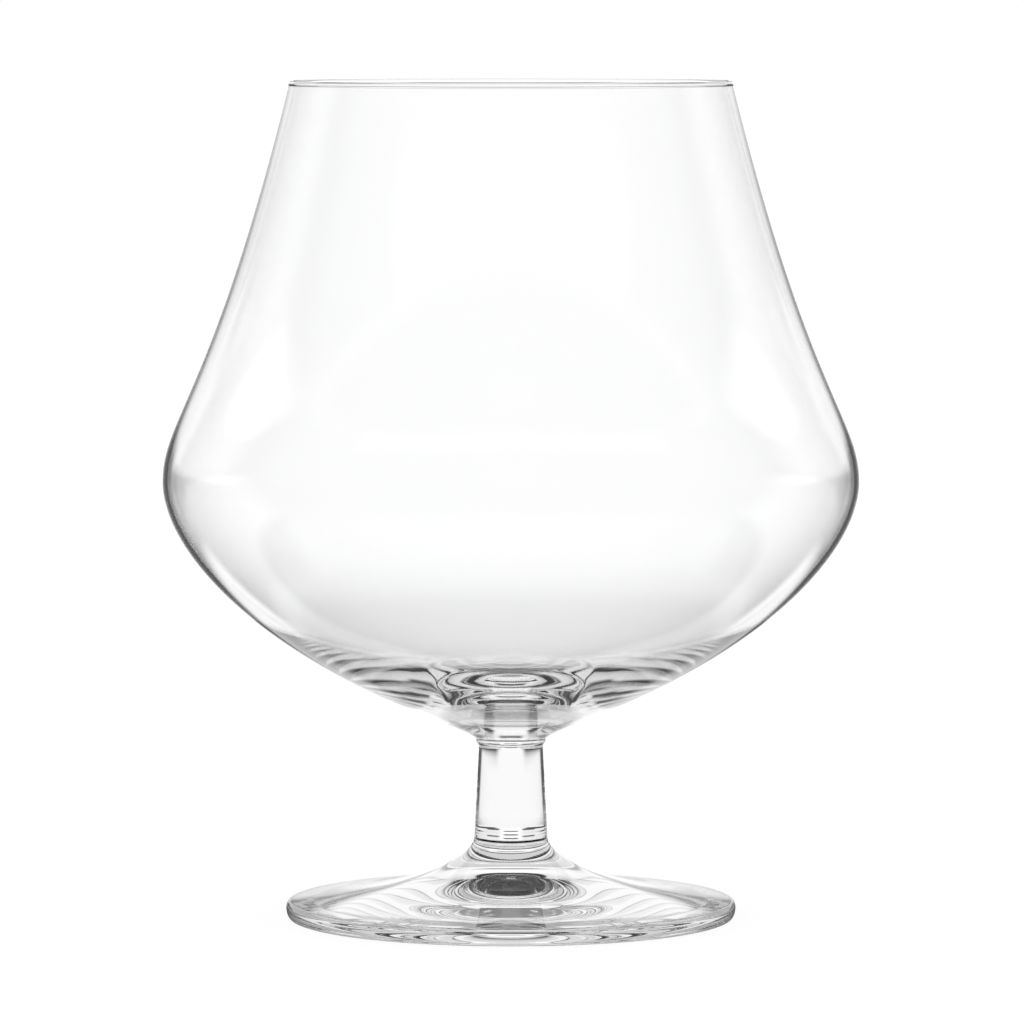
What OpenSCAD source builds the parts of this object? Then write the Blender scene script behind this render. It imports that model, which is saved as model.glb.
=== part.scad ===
// Brandy snifter: a blown balloon bowl, a short pressed stem and a pressed foot,
// fused one on top of the other. The table is z = 0 and the axis of the glass is Z.

/* [Overall] */
// Height from the table to the top of the rim
height = 137; // [122:1:160]
// Largest outside diameter of the bowl
bowl_d = 114; // [98:1:130]
// Outside diameter of the mouth
mouth_d = 72.6; // [58:0.2:86]
// Diameter of the foot
foot_d = 73.7; // [60:0.1:90]

/* [Bowl] */
// Height of the widest ring above the bottom of the bowl
belly_h = 42.2; // [34:0.1:52]
// Wall between the rim and the widest ring
wall = 0.9; // [0.7:0.05:1.4]
// Wall round the thick bottom
base_wall = 2.5; // [1.6:0.1:3.4]
// Glass under the middle of the floor inside
floor_t = 5; // [3.8:0.1:5.8]
// How much thicker the polished rim is than the wall
rim_swell = 0.2; // [0.05:0.05:0.6]
// Lean of the wall at the mouth, in degrees from upright
mouth_lean = 14; // [8:1:20]
// Width of the hollow curve that joins the bowl to its neck
neck_run = 8.8; // [5:0.1:12]
// Height of that curve
neck_rise = 4.2; // [3:0.1:6]

/* [Stem] */
// Length of the stem between the two welds
stem_len = 16.1; // [10:0.1:40]
// Diameter under the collar
stem_top_d = 10.5; // [8:0.1:10.9]
// Diameter where the stem meets the foot
stem_foot_d = 12; // [9:0.1:16]
// Diameter of the collar ring at the weld to the bowl
collar_d = 11.4; // [10.8:0.1:14]
// Height of the collar ring with its blend into the stem
collar_h = 1.5; // [0.8:0.1:3]

/* [Foot] */
// Height of the foot up to its weld
foot_h = 13.3; // [9:0.1:20]
// Thickness of the foot at its edge
edge_t = 2.85; // [2:0.05:4.5]
// Height of the widest line of the rounded edge
edge_mid_h = 1.7; // [1:0.05:1.9]
// Width of the rounding of the edge
edge_round = 0.85; // [0.4:0.05:1.6]
// Width of the ring that the glass stands on
rest_w = 3.9; // [2:0.1:6]
// Depth of the hollow under the foot
hollow_h = 5.8; // [1:0.1:7]

/* [Hidden] */

glass_colour = [0.84, 0.89, 0.9, 0.45];

// Fineness of the round forms and of the curves in the outlines
$fn = 120;
long_steps = 22;
short_steps = 10;

// Radii
belly_r = bowl_d / 2;
mouth_r = mouth_d / 2;
collar_r = collar_d / 2;
stem_top_r = stem_top_d / 2;
stem_foot_r = stem_foot_d / 2;
foot_r = foot_d / 2;
edge_r = foot_r - edge_round;
rest_in_r = edge_r - rest_w;

// Heights above the table
bowl_z = foot_h + stem_len;
belly_z = bowl_z + belly_h;
floor_z = bowl_z + floor_t;

// Neck: the cone of the bottom runs in to a corner above the collar, and a curve rounds it
cone_r = collar_r + neck_run;
cone_z = bowl_z + neck_rise;
neck_corner_share = 0.16;
neck_corner = [collar_r, bowl_z + neck_corner_share * neck_rise];
neck_round_share = 0.66;
cone_slope = (cone_z - neck_corner[1]) / neck_run;

// Rim: a round bead on the end of the wall, so that its top is at the full height
bead_r = (wall + rim_swell) / 2;
bead_lift = sqrt(bead_r * bead_r - wall * wall / 4);
mouth_up = [-sin(mouth_lean), cos(mouth_lean)];
mouth_out = [cos(mouth_lean), sin(mouth_lean)];
mouth_z = height - bead_r + mouth_out[1] * wall / 2 - mouth_up[1] * bead_lift;
bead_angle = acos(wall / (2 * bead_r));

// Handles of the outline curves, as shares of the spans that they follow
belly_down_share = 0.264;
belly_up_share = 0.167;
cone_share = 0.687;
thick_share = 0.3;
mouth_share = 0.81;
floor_middle_share = 1;
floor_edge_share = 0.565;
collar_shares = [0.55, 0.55];
flare_top_share = 0.419;
flare_edge_shares = [0.529, 0.123];
hollow_edge_shares = [0.75, 0.11];
hollow_top_share = 0.31;

function mix(a, b, t) = a + (b - a) * t;

// Cubic curve through four handle points
function curve_at(p, t) =
    let (u = 1 - t)
    u * u * u * p[0] + 3 * u * u * t * p[1] + 3 * u * t * t * p[2] + t * t * t * p[3];

function heading_at(p, t) =
    let (u = 1 - t)
    let (d = u * u * (p[1] - p[0]) + 2 * u * t * (p[2] - p[1]) + t * t * (p[3] - p[2]))
    d / norm(d);

function curve(p, steps) = [for (i = [0 : steps]) curve_at(p, i / steps)];

function left_of(d) = [-d[1], d[0]];

// The curve moved to its left by a depth that goes with the place along it
function inset(p, steps, depths) =
    [for (i = [0 : steps]) curve_at(p, i / steps) + left_of(heading_at(p, i / steps)) * depths[i]];

function ease(t) = t * t * (3 - 2 * t);

// Wall depth from the cone up to the widest ring, thick over the first share of the way
function bottom_depths(steps) =
    [for (i = [0 : steps]) mix(wall, base_wall, ease(max(0, 1 - i / (steps * thick_share))))];

function even_depths(steps) = [for (i = [0 : steps]) wall];

function reversed(list) = [for (i = [len(list) - 1 : -1 : 0]) list[i]];

// A stretch of outline without its first point, to go on from the stretch before it
function onward(list) = [for (i = [1 : len(list) - 1]) list[i]];

// Round stretch about a centre, with its own reach sideways and upwards
function arc(centre, reach, from, to) =
    [for (i = [0 : short_steps])
        let (a = mix(from, to, i / short_steps))
        centre + [reach[0] * cos(a), reach[1] * sin(a)]];

// Outside of the bowl, from the weld upwards
neck_curve = [
    [collar_r, bowl_z],
    mix([collar_r, bowl_z], neck_corner, neck_round_share),
    mix([cone_r, cone_z], neck_corner, neck_round_share),
    [cone_r, cone_z],
];
bottom_curve = [
    [cone_r, cone_z],
    [cone_r, cone_z] + cone_share * (belly_r - cone_r) * [1, cone_slope],
    [belly_r, mix(belly_z, cone_z, belly_down_share)],
    [belly_r, belly_z],
];
upper_curve = [
    [belly_r, belly_z],
    [belly_r, mix(belly_z, mouth_z, belly_up_share)],
    [mouth_r, mouth_z] - mouth_share * (mouth_z - belly_z) * mouth_up,
    [mouth_r, mouth_z],
];

// Inside of the bottom, from the axis out to the thick wall
cone_heading = heading_at(bottom_curve, 0);
floor_edge = [cone_r, cone_z] + base_wall * left_of(cone_heading);
floor_curve = [
    [0, floor_z],
    [floor_middle_share * floor_edge[0], floor_z],
    floor_edge - floor_edge_share * floor_edge[0] * cone_heading,
    floor_edge,
];

bead_centre = [mouth_r, mouth_z] - mouth_out * wall / 2 + mouth_up * bead_lift;

bowl_outline = concat(
    [[0, bowl_z]],
    curve(neck_curve, short_steps),
    onward(curve(bottom_curve, long_steps)),
    onward(curve(upper_curve, long_steps)),
    onward(arc(bead_centre, [bead_r, bead_r], mouth_lean - bead_angle, mouth_lean + 180 + bead_angle)),
    onward(reversed(inset(upper_curve, long_steps, even_depths(long_steps)))),
    onward(reversed(inset(bottom_curve, long_steps, bottom_depths(long_steps)))),
    onward(reversed(curve(floor_curve, short_steps)))
);

// Outside of the stem, from the foot up to the collar
collar_curve = [
    [stem_top_r, bowl_z - collar_h],
    [stem_top_r, bowl_z - collar_h + collar_shares[0] * collar_h],
    [collar_r, bowl_z - collar_shares[1] * collar_h],
    [collar_r, bowl_z],
];

stem_outline = concat(
    [[0, foot_h], [stem_foot_r, foot_h]],
    curve(collar_curve, short_steps),
    [[0, bowl_z]]
);

// Flare of the foot from its edge up to the weld, and the hollow under it
flare_curve = [
    [edge_r, edge_t],
    [mix(edge_r, stem_foot_r, flare_edge_shares[0]), mix(edge_t, foot_h, flare_edge_shares[1])],
    [stem_foot_r, mix(foot_h, edge_t, flare_top_share)],
    [stem_foot_r, foot_h],
];
hollow_curve = [
    [0, hollow_h],
    [hollow_top_share * rest_in_r, hollow_h],
    [mix(rest_in_r, 0, hollow_edge_shares[0]), hollow_edge_shares[1] * hollow_h],
    [rest_in_r, 0],
];

foot_outline = concat(
    curve(hollow_curve, short_steps),
    arc([edge_r, edge_mid_h], [edge_round, edge_mid_h], -90, 0),
    onward(arc([edge_r, edge_mid_h], [edge_round, edge_t - edge_mid_h], 0, 90)),
    onward(curve(flare_curve, long_steps)),
    [[0, foot_h]]
);

module bowl() {
    color(glass_colour)
        rotate_extrude()
            polygon(bowl_outline);
}

module stem() {
    color(glass_colour)
        rotate_extrude()
            polygon(stem_outline);
}

module foot() {
    color(glass_colour)
        rotate_extrude()
            polygon(foot_outline);
}

bowl();
stem();
foot();
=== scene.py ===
import math

import bpy
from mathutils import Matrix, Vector


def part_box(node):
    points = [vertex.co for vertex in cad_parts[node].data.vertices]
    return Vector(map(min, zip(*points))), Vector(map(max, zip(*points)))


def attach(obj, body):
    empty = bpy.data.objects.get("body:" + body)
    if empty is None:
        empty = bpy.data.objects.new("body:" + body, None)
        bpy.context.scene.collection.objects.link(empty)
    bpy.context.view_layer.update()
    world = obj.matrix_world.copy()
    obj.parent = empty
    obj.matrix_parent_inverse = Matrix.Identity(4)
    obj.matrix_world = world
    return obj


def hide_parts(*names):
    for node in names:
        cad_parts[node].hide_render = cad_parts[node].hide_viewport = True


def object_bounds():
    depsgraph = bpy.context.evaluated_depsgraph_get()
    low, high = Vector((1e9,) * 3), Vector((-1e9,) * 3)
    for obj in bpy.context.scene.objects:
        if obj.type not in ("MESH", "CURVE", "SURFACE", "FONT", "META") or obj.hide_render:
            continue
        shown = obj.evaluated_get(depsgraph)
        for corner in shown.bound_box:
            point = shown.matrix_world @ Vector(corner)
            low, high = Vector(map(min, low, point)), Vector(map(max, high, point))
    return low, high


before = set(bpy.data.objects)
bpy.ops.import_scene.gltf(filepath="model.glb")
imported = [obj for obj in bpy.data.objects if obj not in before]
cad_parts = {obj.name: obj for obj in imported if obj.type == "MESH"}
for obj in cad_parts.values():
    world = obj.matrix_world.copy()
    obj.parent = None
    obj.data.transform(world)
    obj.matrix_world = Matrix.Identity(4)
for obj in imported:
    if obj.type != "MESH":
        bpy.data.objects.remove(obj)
cad_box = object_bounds()

MM = 0.001

# Places that the frame gives
foot_low, foot_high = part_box("foot")
stem_low, stem_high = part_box("stem")
bowl_low, bowl_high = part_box("bowl")
TABLE_Z = foot_low.z
LOWER_WELD_Z = stem_low.z
UPPER_WELD_Z = stem_high.z
RIM_TOP_Z = bowl_high.z
BELLY_R = (bowl_high.x - bowl_low.x) / 2
FOOT_R = (foot_high.x - foot_low.x) / 2

# Bowl
BELLY_Z = UPPER_WELD_Z + 42.2 * MM
MOUTH_R = 36.3 * MM
WALL = 0.9 * MM
BASE_WALL = 2.5 * MM
FLOOR_Z = UPPER_WELD_Z + 5 * MM
RIM_SWELL = 0.2 * MM
MOUTH_LEAN = math.radians(14)
NECK_RUN = 8.8 * MM
NECK_RISE = 4.2 * MM

# Stem
STEM_TOP_R = 5.25 * MM
STEM_FOOT_R = 6 * MM
COLLAR_R = 5.7 * MM
COLLAR_H = 1.5 * MM

# Foot
EDGE_T = 2.85 * MM
EDGE_MID_H = 1.7 * MM
EDGE_ROUND = 0.85 * MM
REST_W = 3.9 * MM
HOLLOW_H = 3.9 * MM

# Shares of the spans that the outline curves follow
NECK_CORNER_SHARE = 0.16
NECK_ROUND_SHARE = 0.66
BELLY_DOWN_SHARE = 0.264
BELLY_UP_SHARE = 0.167
CONE_SHARE = 0.687
THICK_SHARE = 0.4
MOUTH_SHARE = 0.81
FLOOR_MIDDLE_SHARE = 1
FLOOR_EDGE_SHARE = 0.565
COLLAR_SHARE = 0.55
FLARE_TOP_SHARE = 0.419
FLARE_EDGE_SHARES = (0.529, 0.123)
HOLLOW_EDGE_SHARES = (0.8, 0.6)
HOLLOW_TOP_SHARE = 0.25

# Studio: a white table before a white backdrop, in a dark tent.
# What the glass sees of them turns with the camera.
FLOOR_GAP = 0.05 * MM
FLOOR_HALF = 3
TABLE_GLOW = 0.93
TABLE_WHITE = 0.1
TABLE_RINGS = 80
TABLE_R = 650
TENT_R = 2.5
GRID_STEP = 1.5
# Lit and dark fields, each laid over those before it: the angles to either side of the line behind
# the glass, the angles upwards or the distances on the table in millimetres, the widths of the two
# soft edges, and the brightness
TABLE_LEVEL = 1.03
# Close round the glass the table's glow carries painted shadow of the glass: front_shade, side_shade and
# stem_shade darken it in front, at the sides and under the stem. back_light is a painted lighter patch, at
# 0.7, behind the glass.
TABLE_FIELDS = {
    "far_back": ((-90, 30), (480, 900), (20, 360), 1.15),
    "far_sides": ((16, 300), (170, 900), (8, 60), 0.1),
    "front_shade": ((100, 300), (-400, 250), (60, 200), 0.35),
    "stem_edges": ((54, 110), (80, 280), (10, 30), 0.1),
    "side_shade": ((25, 300), (-90, 75), (16, 30), 0.08),
    "back_light": ((-90, 25), (-90, 80), (16, 30), 0.7),
    "stem_shade": ((-90, 300), (-90, 12), (10, 4), 0),
}
TENT_LEVEL = 0.05
TENT_FIELDS = {
    "side_panels": ((-90, 75), (4, 36), (20, 4), 0.95),
    "edge_flags": ((12, 30), (-40, 8), (5, 4), 0.1),
    "backdrop": ((-90, 12), (-40, 36), (5, 4), 1.15),
    "rim_flag": ((-90, 8), (10, 15), (4, 3), 0.1),
}

# Camera of the photo, in millimetres
CAMERA_PLACE = (0.18, -1115, 148.3)
CAMERA_AIM = (0.18, 0, 66.6)
CAMERA_LENS = 240.4
SENSOR_WIDTH = 36

# Clear glass, with the faint cords of tint that the furnace leaves in it
GLASS_IOR = 1.5
CORD_SCALE = 40
CORD_TINT = (0.994, 0.998, 0.997, 1)
CLEAR_TINT = (1, 1, 1, 1)

# Light runs a long way along the wall of the bowl before it comes out
LIGHT_BOUNCES = 200

# Fineness of the turned meshes
TURNS = 192
LONG_STEPS = 70
SHORT_STEPS = 24
STEM_STEPS = 12
# Corners closer than this are one, and faces this near to the height of a weld are inside it
MERGE_GAP = 0.1 * MM * MM
WELD_SLACK = MM * MM


def point(r, z):
    return Vector((r, z))


def cubic_at(p, t):
    u = 1 - t
    return u**3 * p[0] + 3 * u * u * t * p[1] + 3 * u * t * t * p[2] + t**3 * p[3]


def heading_at(p, t):
    u = 1 - t
    return (u * u * (p[1] - p[0]) + 2 * u * t * (p[2] - p[1]) + t * t * (p[3] - p[2])).normalized()


def places(steps):
    """Places along a curve, closer together towards its ends."""
    return [(1 - math.cos(math.pi * i / steps)) / 2 for i in range(steps + 1)]


def curve(p, steps):
    return [cubic_at(p, t) for t in places(steps)]


def left_of(d):
    return point(-d.y, d.x)


def inset(p, steps, depth_at):
    """The curve moved to its left by a depth that goes with the place along it."""
    return [cubic_at(p, t) + left_of(heading_at(p, t)) * depth_at(t) for t in places(steps)]


def arc(centre, reach_r, reach_z, start, end, steps):
    angles = [start + (end - start) * i / steps for i in range(steps + 1)]
    return [centre + point(reach_r * math.cos(a), reach_z * math.sin(a)) for a in angles]


def straight(start, end, steps):
    return [start.lerp(end, i / steps) for i in range(steps + 1)]


def ease(t):
    return t * t * (3 - 2 * t)


def joined(*stretches):
    """One outline from stretches that each start where the last one ends."""
    outline = list(stretches[0])
    for stretch in stretches[1:]:
        outline += stretch[1:]
    return outline


def bowl_outline():
    cone = point(COLLAR_R + NECK_RUN, UPPER_WELD_Z + NECK_RISE)
    weld_edge = point(COLLAR_R, UPPER_WELD_Z)
    corner = point(COLLAR_R, UPPER_WELD_Z + NECK_CORNER_SHARE * NECK_RISE)
    cone_slope = (cone.y - corner.y) / NECK_RUN
    neck = [
        weld_edge,
        weld_edge.lerp(corner, NECK_ROUND_SHARE),
        cone.lerp(corner, NECK_ROUND_SHARE),
        cone,
    ]
    belly = point(BELLY_R, BELLY_Z)
    bottom = [
        cone,
        cone + CONE_SHARE * (BELLY_R - cone.x) * point(1, cone_slope),
        belly - point(0, BELLY_DOWN_SHARE * (BELLY_Z - cone.y)),
        belly,
    ]
    up = point(-math.sin(MOUTH_LEAN), math.cos(MOUTH_LEAN))
    out = point(math.cos(MOUTH_LEAN), math.sin(MOUTH_LEAN))
    bead_r = (WALL + RIM_SWELL) / 2
    bead_lift = math.sqrt(bead_r**2 - WALL**2 / 4)
    bead_angle = math.acos(WALL / (2 * bead_r))
    mouth = point(MOUTH_R, RIM_TOP_Z - bead_r + out.y * WALL / 2 - up.y * bead_lift)
    upper = [
        belly,
        belly + point(0, BELLY_UP_SHARE * (mouth.y - BELLY_Z)),
        mouth - MOUTH_SHARE * (mouth.y - BELLY_Z) * up,
        mouth,
    ]
    bead_centre = mouth - out * WALL / 2 + up * bead_lift
    bead_start = MOUTH_LEAN - bead_angle
    bead_end = MOUTH_LEAN + math.pi + bead_angle

    def bottom_depth(t):
        return WALL + (BASE_WALL - WALL) * ease(max(0, 1 - t / THICK_SHARE))

    cone_heading = heading_at(bottom, 0)
    floor_edge = cone + BASE_WALL * left_of(cone_heading)
    floor = [
        point(0, FLOOR_Z),
        point(FLOOR_MIDDLE_SHARE * floor_edge.x, FLOOR_Z),
        floor_edge - FLOOR_EDGE_SHARE * floor_edge.x * cone_heading,
        floor_edge,
    ]
    return joined(
        [point(0, UPPER_WELD_Z), weld_edge],
        curve(neck, SHORT_STEPS),
        curve(bottom, LONG_STEPS),
        curve(upper, LONG_STEPS),
        arc(bead_centre, bead_r, bead_r, bead_start, bead_end, SHORT_STEPS),
        inset(upper, LONG_STEPS, lambda t: WALL)[::-1],
        inset(bottom, LONG_STEPS, bottom_depth)[::-1],
        curve(floor, SHORT_STEPS)[::-1],
    )


def stem_outline():
    collar = [
        point(STEM_TOP_R, UPPER_WELD_Z - COLLAR_H),
        point(STEM_TOP_R, UPPER_WELD_Z - (1 - COLLAR_SHARE) * COLLAR_H),
        point(COLLAR_R, UPPER_WELD_Z - COLLAR_SHARE * COLLAR_H),
        point(COLLAR_R, UPPER_WELD_Z),
    ]
    foot_end = point(STEM_FOOT_R, LOWER_WELD_Z)
    return joined(
        [point(0, LOWER_WELD_Z), foot_end],
        straight(foot_end, collar[0], STEM_STEPS),
        curve(collar, SHORT_STEPS),
        [collar[3], point(0, UPPER_WELD_Z)],
    )


def foot_outline():
    edge_r = FOOT_R - EDGE_ROUND
    rest_in_r = edge_r - REST_W
    hollow = [
        point(0, TABLE_Z + HOLLOW_H),
        point(HOLLOW_TOP_SHARE * rest_in_r, TABLE_Z + HOLLOW_H),
        point((1 - HOLLOW_EDGE_SHARES[0]) * rest_in_r, TABLE_Z + HOLLOW_EDGE_SHARES[1] * HOLLOW_H),
        point(rest_in_r, TABLE_Z),
    ]
    edge_centre = point(edge_r, TABLE_Z + EDGE_MID_H)
    edge_top = point(edge_r, TABLE_Z + EDGE_T)
    weld_edge = point(STEM_FOOT_R, LOWER_WELD_Z)
    fall = LOWER_WELD_Z - edge_top.y
    flare = [
        edge_top,
        edge_top + point(FLARE_EDGE_SHARES[0] * (STEM_FOOT_R - edge_r), FLARE_EDGE_SHARES[1] * fall),
        weld_edge - point(0, FLARE_TOP_SHARE * fall),
        weld_edge,
    ]
    return joined(
        curve(hollow, LONG_STEPS),
        [hollow[3], point(edge_r, TABLE_Z)],
        arc(edge_centre, EDGE_ROUND, EDGE_MID_H, -math.pi / 2, 0, SHORT_STEPS),
        arc(edge_centre, EDGE_ROUND, EDGE_T - EDGE_MID_H, 0, math.pi / 2, SHORT_STEPS),
        curve(flare, LONG_STEPS),
        [weld_edge, point(0, LOWER_WELD_Z)],
    )


def new_material(name):
    material = bpy.data.materials.new(name)
    material.use_nodes = True
    material.node_tree.nodes.clear()
    return material, material.node_tree.nodes, material.node_tree.links


def clear_glass(name):
    material, nodes, links = new_material(name)
    output = nodes.new("ShaderNodeOutputMaterial")
    glass = nodes.new("ShaderNodeBsdfPrincipled")
    place = nodes.new("ShaderNodeTexCoord")
    cords = nodes.new("ShaderNodeTexNoise")
    cords.inputs["Scale"].default_value = CORD_SCALE
    links.new(place.outputs["Object"], cords.inputs["Vector"])
    tint = nodes.new("ShaderNodeValToRGB")
    tint.color_ramp.elements[0].color = CORD_TINT
    tint.color_ramp.elements[1].color = CLEAR_TINT
    links.new(cords.outputs["Fac"], tint.inputs["Fac"])
    links.new(tint.outputs["Color"], glass.inputs["Base Color"])
    glass.inputs["Roughness"].default_value = 0
    glass.inputs["IOR"].default_value = GLASS_IOR
    glass.inputs["Transmission Weight"].default_value = 1
    links.new(glass.outputs["BSDF"], output.inputs["Surface"])
    return material


def fused_face(name):
    """The face inside a weld, which can't be seen because the glass runs on through it."""
    material, nodes, links = new_material(name)
    output = nodes.new("ShaderNodeOutputMaterial")
    clear = nodes.new("ShaderNodeBsdfTransparent")
    links.new(clear.outputs["BSDF"], output.inputs["Surface"])
    return material


def lathe_tree(name):
    """Turns an outline, given as a row of points in X and Z, round the Z axis."""
    tree = bpy.data.node_groups.new(name, "GeometryNodeTree")
    face = tree.interface
    face.new_socket("Outline", in_out="INPUT", socket_type="NodeSocketGeometry")
    face.new_socket("Turns", in_out="INPUT", socket_type="NodeSocketInt")
    face.new_socket("Lower weld", in_out="INPUT", socket_type="NodeSocketFloat")
    face.new_socket("Upper weld", in_out="INPUT", socket_type="NodeSocketFloat")
    face.new_socket("Glass", in_out="INPUT", socket_type="NodeSocketMaterial")
    face.new_socket("Fused face", in_out="INPUT", socket_type="NodeSocketMaterial")
    face.new_socket("Geometry", in_out="OUTPUT", socket_type="NodeSocketGeometry")
    nodes, links = tree.nodes, tree.links
    given = nodes.new("NodeGroupInput")
    result = nodes.new("NodeGroupOutput")

    def math_node(operation, *values):
        node = nodes.new("ShaderNodeMath")
        node.operation = operation
        for socket, value in zip(node.inputs, values):
            if isinstance(value, (int, float)):
                socket.default_value = value
            else:
                links.new(value, socket)
        return node.outputs[0]

    size = nodes.new("GeometryNodeAttributeDomainSize")
    links.new(given.outputs["Outline"], size.inputs["Geometry"])
    columns = math_node("ADD", given.outputs["Turns"], 1)
    grid = nodes.new("GeometryNodeMeshGrid")
    links.new(size.outputs["Point Count"], grid.inputs["Vertices X"])
    links.new(columns, grid.inputs["Vertices Y"])

    index = nodes.new("GeometryNodeInputIndex")
    row = math_node("FLOOR", math_node("DIVIDE", math_node("ADD", index.outputs[0], 0.5), columns))
    column = math_node("SUBTRACT", index.outputs[0], math_node("MULTIPLY", row, columns))
    angle = math_node("MULTIPLY", math_node("DIVIDE", column, given.outputs["Turns"]), math.tau)

    place = nodes.new("GeometryNodeInputPosition")
    sample = nodes.new("GeometryNodeSampleIndex")
    sample.data_type = "FLOAT_VECTOR"
    links.new(given.outputs["Outline"], sample.inputs["Geometry"])
    links.new(place.outputs[0], sample.inputs["Value"])
    links.new(row, sample.inputs["Index"])
    split = nodes.new("ShaderNodeSeparateXYZ")
    links.new(sample.outputs["Value"], split.inputs[0])
    turned = nodes.new("ShaderNodeCombineXYZ")
    links.new(math_node("MULTIPLY", split.outputs["X"], math_node("COSINE", angle)), turned.inputs["X"])
    links.new(math_node("MULTIPLY", split.outputs["X"], math_node("SINE", angle)), turned.inputs["Y"])
    links.new(split.outputs["Z"], turned.inputs["Z"])

    wrap = nodes.new("GeometryNodeSetPosition")
    links.new(grid.outputs["Mesh"], wrap.inputs["Geometry"])
    links.new(turned.outputs[0], wrap.inputs["Position"])
    close = nodes.new("GeometryNodeMergeByDistance")
    close.inputs["Distance"].default_value = MERGE_GAP
    links.new(wrap.outputs[0], close.inputs["Geometry"])

    def at_height(socket):
        height = nodes.new("ShaderNodeSeparateXYZ")
        links.new(place.outputs[0], height.inputs[0])
        return math_node("COMPARE", height.outputs["Z"], socket, WELD_SLACK)

    lower_faces = at_height(given.outputs["Lower weld"])
    upper_faces = at_height(given.outputs["Upper weld"])
    weld_faces = math_node("MAXIMUM", lower_faces, upper_faces)
    outward = nodes.new("GeometryNodeFlipFaces")
    links.new(close.outputs[0], outward.inputs["Mesh"])
    smooth = nodes.new("GeometryNodeSetShadeSmooth")
    links.new(outward.outputs[0], smooth.inputs["Geometry"])
    links.new(math_node("SUBTRACT", 1, weld_faces), smooth.inputs["Shade Smooth"])
    real = nodes.new("GeometryNodeRealizeInstances")
    links.new(smooth.outputs[0], real.inputs[0])
    all_glass = nodes.new("GeometryNodeSetMaterial")
    links.new(real.outputs[0], all_glass.inputs["Geometry"])
    links.new(given.outputs["Glass"], all_glass.inputs["Material"])
    fused = nodes.new("GeometryNodeSetMaterial")
    links.new(all_glass.outputs[0], fused.inputs["Geometry"])
    links.new(weld_faces, fused.inputs["Selection"])
    links.new(given.outputs["Fused face"], fused.inputs["Material"])
    links.new(fused.outputs[0], result.inputs[0])
    return tree


def set_inputs(modifier, values):
    for item in modifier.node_group.interface.items_tree:
        if item.in_out == "INPUT" and item.name in values:
            modifier[item.identifier] = values[item.name]


def turned_piece(name, outline, tree, glass, fused):
    mesh = bpy.data.meshes.new(name + "_outline")
    mesh.from_pydata([(p.x, 0, p.y) for p in outline], [(i, i + 1) for i in range(len(outline) - 1)], [])
    maker = bpy.data.objects.new(name + "_maker", mesh)
    bpy.context.collection.objects.link(maker)
    modifier = maker.modifiers.new("Lathe", "NODES")
    modifier.node_group = tree
    set_inputs(
        modifier,
        {
            "Turns": TURNS,
            "Lower weld": LOWER_WELD_Z,
            "Upper weld": UPPER_WELD_Z,
            "Glass": glass,
            "Fused face": fused,
        },
    )
    depsgraph = bpy.context.evaluated_depsgraph_get()
    turned = bpy.data.meshes.new_from_object(maker.evaluated_get(depsgraph), depsgraph=depsgraph)
    bpy.data.objects.remove(maker)
    bpy.data.meshes.remove(mesh)
    turned.name = name
    turned.materials.pop(index=list(turned.materials).index(None))
    piece = bpy.data.objects.new(name, turned)
    bpy.context.collection.objects.link(piece)
    return piece


def stage_mesh(name, corners, faces, material):
    mesh = bpy.data.meshes.new(name)
    mesh.from_pydata(corners, [], faces)
    mesh.materials.append(material)
    stage = bpy.data.objects.new(name, mesh)
    bpy.context.collection.objects.link(stage)
    return stage


def turntable(name, place, camera, kind):
    """Turns with the camera, as when a glass is turned on the spot before a fixed set."""
    rig = bpy.data.objects.new(name, None)
    bpy.context.collection.objects.link(rig)
    rig.location = place
    follow = rig.constraints.new(kind)
    follow.target = camera
    follow.track_axis = "TRACK_NEGATIVE_Y"
    return rig, follow


def soft_span(value, span, edge):
    """1 inside the span and 0 outside, with soft edges."""
    low = ease(min(1, max(0, (value - span[0]) / edge + 0.5)))
    high = ease(min(1, max(0, (span[1] - value) / edge + 0.5)))
    return low * high


def brightness_at(level, fields, side, reach):
    for sides, reaches, edges, brightness in fields.values():
        cover = soft_span(abs(side), sides, edges[0]) * soft_span(reach, reaches, edges[1])
        level += (brightness - level) * cover
    return level


def glowing_cloth():
    material, nodes, links = new_material("glowing_cloth")
    output = nodes.new("ShaderNodeOutputMaterial")
    light = nodes.new("ShaderNodeEmission")
    brightness = nodes.new("ShaderNodeAttribute")
    brightness.attribute_name = "brightness"
    links.new(brightness.outputs["Fac"], light.inputs["Strength"])
    links.new(light.outputs[0], output.inputs["Surface"])
    material.cycles.emission_sampling = "NONE"
    return material


def glowing_grid(name, reaches, corner_at, level, fields, cloth, rig):
    """A sheet that only the glass sees, made of rows of corners from the left round to the right."""
    sides = [-180 + i * GRID_STEP for i in range(round(360 / GRID_STEP) + 1)]
    corners = [corner_at(math.radians(side), reach) for reach in reaches for side in sides]
    levels = [brightness_at(level, fields, side, reach) for reach in reaches for side in sides]
    across = len(sides)
    faces = []
    for i in range(len(reaches) - 1):
        for j in range(across - 1):
            first = i * across + j
            faces.append((first, first + 1, first + across + 1, first + across))
    sheet = stage_mesh(name, corners, faces, cloth)
    sheet.data.attributes.new("brightness", "FLOAT", "POINT").data.foreach_set("value", levels)
    sheet.parent = rig
    sheet.visible_camera = False
    sheet.visible_diffuse = False
    sheet.visible_shadow = False


def tent_corner(turn, rise):
    lift = math.radians(rise)
    return TENT_R * Vector((math.sin(turn) * math.cos(lift), math.cos(turn) * math.cos(lift), math.sin(lift)))


def table_corner(turn, reach):
    return reach * MM * Vector((math.sin(turn), math.cos(turn), 0))


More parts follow.
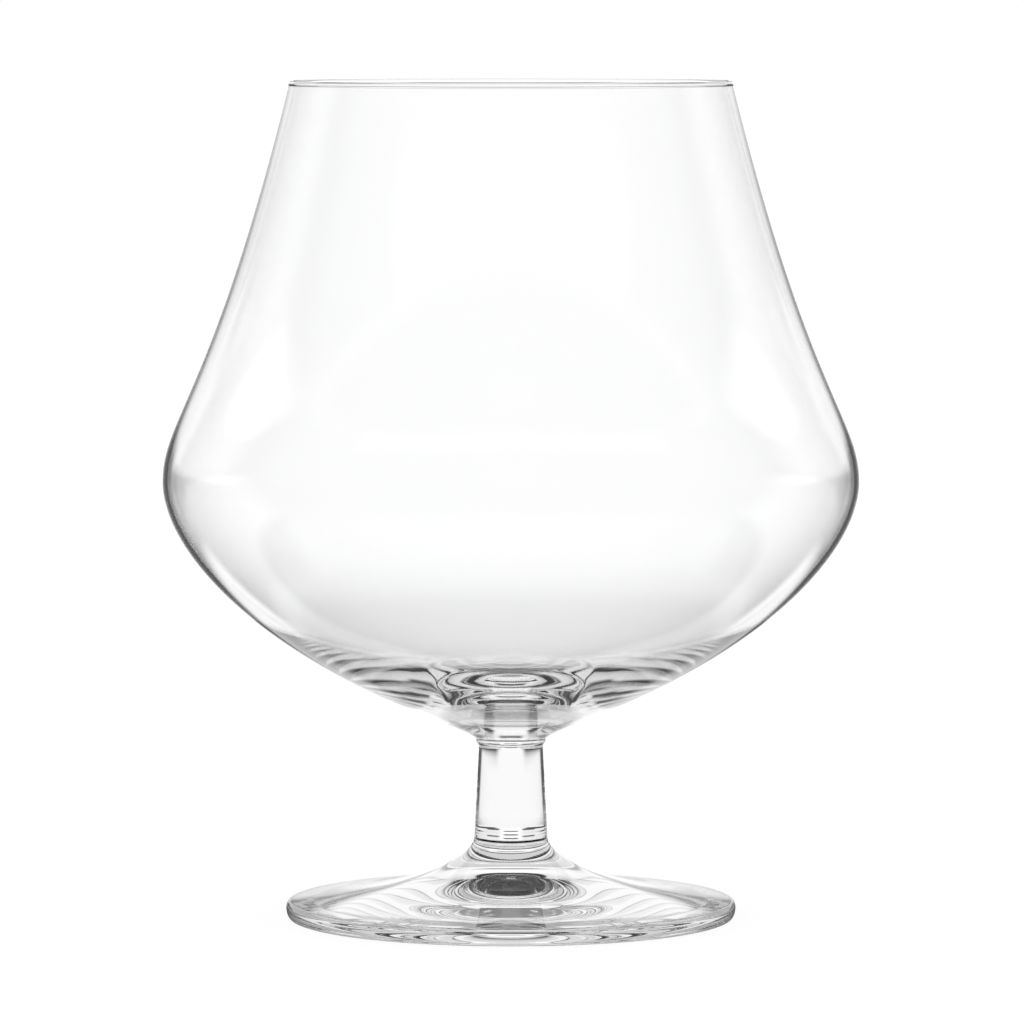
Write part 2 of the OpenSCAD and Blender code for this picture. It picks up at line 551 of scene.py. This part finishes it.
def studio_tent(camera, cloth):
    rig, follow = turntable("tent_turntable", (cad_box[0] + cad_box[1]) / 2, camera, "TRACK_TO")
    follow.up_axis = "UP_Z"
    rises = [-90 + i * GRID_STEP for i in range(round(180 / GRID_STEP) + 1)]
    glowing_grid("studio_tent", rises, tent_corner, TENT_LEVEL, TENT_FIELDS, cloth, rig)


def table_round_glass(camera, cloth):
    rig, follow = turntable("table_turntable", (0, 0, TABLE_Z - FLOOR_GAP / 2), camera, "LOCKED_TRACK")
    follow.lock_axis = "LOCK_Z"
    reaches = [TABLE_R * (i / TABLE_RINGS) ** 2 for i in range(TABLE_RINGS + 1)]
    glowing_grid("studio_table", reaches, table_corner, TABLE_LEVEL, TABLE_FIELDS, cloth, rig)


def studio_floor():
    material, nodes, links = new_material("white_table")
    output = nodes.new("ShaderNodeOutputMaterial")
    light = nodes.new("ShaderNodeEmission")
    light.inputs["Strength"].default_value = TABLE_GLOW
    paint = nodes.new("ShaderNodeBsdfDiffuse")
    paint.inputs["Color"].default_value = (TABLE_WHITE, TABLE_WHITE, TABLE_WHITE, 1)
    both = nodes.new("ShaderNodeAddShader")
    links.new(light.outputs[0], both.inputs[0])
    links.new(paint.outputs[0], both.inputs[1])
    links.new(both.outputs[0], output.inputs["Surface"])
    z = TABLE_Z - FLOOR_GAP
    half = FLOOR_HALF
    corners = [(-half, -half, z), (half, -half, z), (half, half, z), (-half, half, z)]
    floor = stage_mesh("studio_floor", corners, [(0, 1, 2, 3)], material)
    floor.visible_transmission = False
    floor.visible_glossy = False


def studio_world():
    world = bpy.data.worlds.new("studio_room")
    bpy.context.scene.world = world
    world.use_nodes = True
    back = world.node_tree.nodes["Background"]
    back.inputs["Color"].default_value = (1, 1, 1, 1)
    back.inputs["Strength"].default_value = 1


def photo_camera():
    data = bpy.data.cameras.new("photo_camera")
    data.sensor_width = SENSOR_WIDTH
    data.lens = CAMERA_LENS
    camera = bpy.data.objects.new("photo_camera", data)
    bpy.context.collection.objects.link(camera)
    camera.location = Vector(CAMERA_PLACE) * MM
    aim = Vector(CAMERA_AIM) * MM
    camera.rotation_mode = "QUATERNION"
    camera.rotation_quaternion = (aim - camera.location).to_track_quat("-Z", "Y")
    bpy.context.scene.camera = camera
    return camera


lathe = lathe_tree("lathe")
weld_face = fused_face("fused_weld_face")
OUTLINES = {"bowl": bowl_outline(), "stem": stem_outline(), "foot": foot_outline()}
FINISHES = {
    "bowl": clear_glass("blown_bowl"),
    "stem": clear_glass("pressed_stem"),
    "foot": clear_glass("pressed_foot"),
}
for part, outline in OUTLINES.items():
    piece = turned_piece("glass_" + part, outline, lathe, FINISHES[part], weld_face)
    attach(piece, "root")
    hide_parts(part)

camera = photo_camera()
cloth = glowing_cloth()
studio_floor()
table_round_glass(camera, cloth)
studio_tent(camera, cloth)
studio_world()

scene = bpy.context.scene
scene.view_settings.view_transform = "Standard"
scene.cycles.max_bounces = LIGHT_BOUNCES
scene.cycles.transmission_bounces = LIGHT_BOUNCES
scene.cycles.glossy_bounces = LIGHT_BOUNCES
scene.cycles.transparent_max_bounces = LIGHT_BOUNCES
